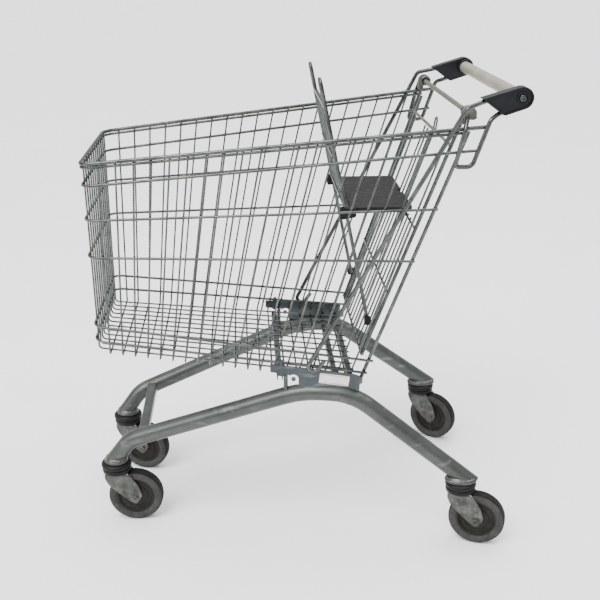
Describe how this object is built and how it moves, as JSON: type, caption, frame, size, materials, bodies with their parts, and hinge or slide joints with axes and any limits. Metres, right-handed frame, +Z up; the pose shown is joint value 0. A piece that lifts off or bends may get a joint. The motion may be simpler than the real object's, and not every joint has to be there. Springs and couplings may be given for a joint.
{
  "type": "shopping trolley",
  "caption": "Wire shopping trolley with a tapering basket, a hinged rear flap, a folding child seat, a bar handle and swivel castors on a two-tube chassis.",
  "frame": {"origin": "on the ground under the middle of the parked trolley's box", "axes": "+X to the rear, where the handle is; +Y to the pusher's right; +Z up"},
  "size_m": [0.9018, 0.5625, 1.0138],
  "materials": {
    "silver_paint": "silver-grey powder coat, semi-gloss, chipped at the tube ends",
    "saddle_grey": "blue-grey painted sheet steel, dull",
    "zinc": "bright zinc plate, semi-gloss",
    "zinc_castor": "zinc plate, dulled, with rust at the edges",
    "dark_plastic": "dark charcoal moulded plastic, satin",
    "black_plastic": "black moulded plastic, satin",
    "seat_grey": "dark grey moulded plastic, fine texture",
    "hook_grey": "warm grey, matte",
    "grip_cream": "pale warm grey plastic sleeve, satin",
    "tyre_grey": "grey rubber, matte, worn",
    "hub_grey": "dark grey moulded plastic, dusty",
    "label_white": "blank label, semi-matte"
  },
  "bodies": {
    "root": {"chassis_tube_left": "silver_paint", "saddle_plate_left": "saddle_grey", "basket_side_left": "zinc", "rear_edge_wire_left": "zinc", "handle_upper_wire_left": "zinc", "handle_lower_wire_left": "zinc", "handle_cap_left": "dark_plastic", "handle_screw_left": "zinc", "hinge_hook_left": "hook_grey", "chassis_tube_right": "silver_paint", "saddle_plate_right": "saddle_grey", "basket_side_right": "zinc", "rear_edge_wire_right": "zinc", "handle_upper_wire_right": "zinc", "handle_lower_wire_right": "zinc", "handle_cap_right": "dark_plastic", "handle_screw_right": "zinc", "hinge_hook_right": "hook_grey", "front_cross_bar": "silver_paint", "saddle_bar_front": "saddle_grey", "saddle_bar_middle": "saddle_grey", "saddle_bar_rear": "saddle_grey", "blank_label": "label_white", "basket_front": "zinc", "basket_floor": "zinc", "handle_grip": "grip_cream", "castor_front_left_socket": "silver_paint", "castor_front_left_dust_ring": "black_plastic", "castor_front_right_socket": "silver_paint", "castor_front_right_dust_ring": "black_plastic", "castor_rear_left_socket": "silver_paint", "castor_rear_left_dust_ring": "black_plastic", "castor_rear_right_socket": "silver_paint", "castor_rear_right_dust_ring": "black_plastic"},
    "flap": {"flap_pivot_rod": "hook_grey", "flap_grid": "zinc", "backrest_pivot_clip_left": "black_plastic", "backrest_pivot_clip_right": "black_plastic"},
    "backrest": {"backrest_frame": "zinc", "seat_hinge_clip_left": "black_plastic", "seat_hinge_clip_right": "black_plastic", "seat_hinge_rod": "zinc"},
    "seat": {"seat_plate": "seat_grey"},
    "castor_front_left_swivel": {"castor_front_left_fork": "zinc_castor", "castor_front_left_axle_bolt": "zinc_castor"},
    "castor_front_left_wheel": {"castor_front_left_hub": "hub_grey", "castor_front_left_tyre": "tyre_grey"},
    "castor_front_right_swivel": {"castor_front_right_fork": "zinc_castor", "castor_front_right_axle_bolt": "zinc_castor"},
    "castor_front_right_wheel": {"castor_front_right_hub": "hub_grey", "castor_front_right_tyre": "tyre_grey"},
    "castor_rear_left_swivel": {"castor_rear_left_fork": "zinc_castor", "castor_rear_left_axle_bolt": "zinc_castor"},
    "castor_rear_left_wheel": {"castor_rear_left_hub": "hub_grey", "castor_rear_left_tyre": "tyre_grey"},
    "castor_rear_right_swivel": {"castor_rear_right_fork": "zinc_castor", "castor_rear_right_axle_bolt": "zinc_castor"},
    "castor_rear_right_wheel": {"castor_rear_right_hub": "hub_grey", "castor_rear_right_tyre": "tyre_grey"}
  },
  "joints": [
    {"name": "flap_swing", "type": "hinge", "parent": "root", "child": "flap", "pos_m": [0.3146, 0.009, 0.958], "axis": [0, 1, 0], "range_deg": [0, 75]},
    {"name": "backrest_fold", "type": "hinge", "parent": "flap", "child": "backrest", "pos_m": [0.1426, 0.009, 0.504], "axis": [0, 1, 0], "range_deg": [0, 26]},
    {"name": "seat_fold", "type": "hinge", "parent": "backrest", "child": "seat", "pos_m": [0.1056, 0.009, 0.744], "axis": [0, 1, 0], "range_deg": [-94, 0]},
    {"name": "castor_front_left_turn", "type": "hinge", "parent": "root", "child": "castor_front_left_swivel", "pos_m": [-0.4231, -0.1073, 0.132], "axis": [0, 0, 1], "continuous": true},
    {"name": "castor_front_left_roll", "type": "hinge", "parent": "castor_front_left_swivel", "child": "castor_front_left_wheel", "pos_m": [-0.38218, -0.1098, 0.0625], "axis": [0.061, 0.9981, 0], "continuous": true},
    {"name": "castor_front_right_turn", "type": "hinge", "parent": "root", "child": "castor_front_right_swivel", "pos_m": [-0.4231, 0.1253, 0.132], "axis": [0, 0, 1], "continuous": true},
    {"name": "castor_front_right_roll", "type": "hinge", "parent": "castor_front_right_swivel", "child": "castor_front_right_wheel", "pos_m": [-0.38369, 0.114, 0.0625], "axis": [0.2756, 0.9613, 0], "continuous": true},
    {"name": "castor_rear_left_turn", "type": "hinge", "parent": "root", "child": "castor_rear_left_swivel", "pos_m": [0.3506, -0.2329, 0.132], "axis": [0, 0, 1], "continuous": true},
    {"name": "castor_rear_left_roll", "type": "hinge", "parent": "castor_rear_left_swivel", "child": "castor_rear_left_wheel", "pos_m": [0.38913, -0.24692, 0.0625], "axis": [0.342, 0.9397, 0], "continuous": true},
    {"name": "castor_rear_right_turn", "type": "hinge", "parent": "root", "child": "castor_rear_right_swivel", "pos_m": [0.3506, 0.2509, 0.132], "axis": [0, 0, 1], "continuous": true},
    {"name": "castor_rear_right_roll", "type": "hinge", "parent": "castor_rear_right_swivel", "child": "castor_rear_right_wheel", "pos_m": [0.38377, 0.2268, 0.0625], "axis": [0.5878, 0.809, 0], "continuous": true}
  ],
  "couplings": [
    {"joint": "seat_fold", "follows": "backrest_fold", "ratio": -3.6}
  ]
}
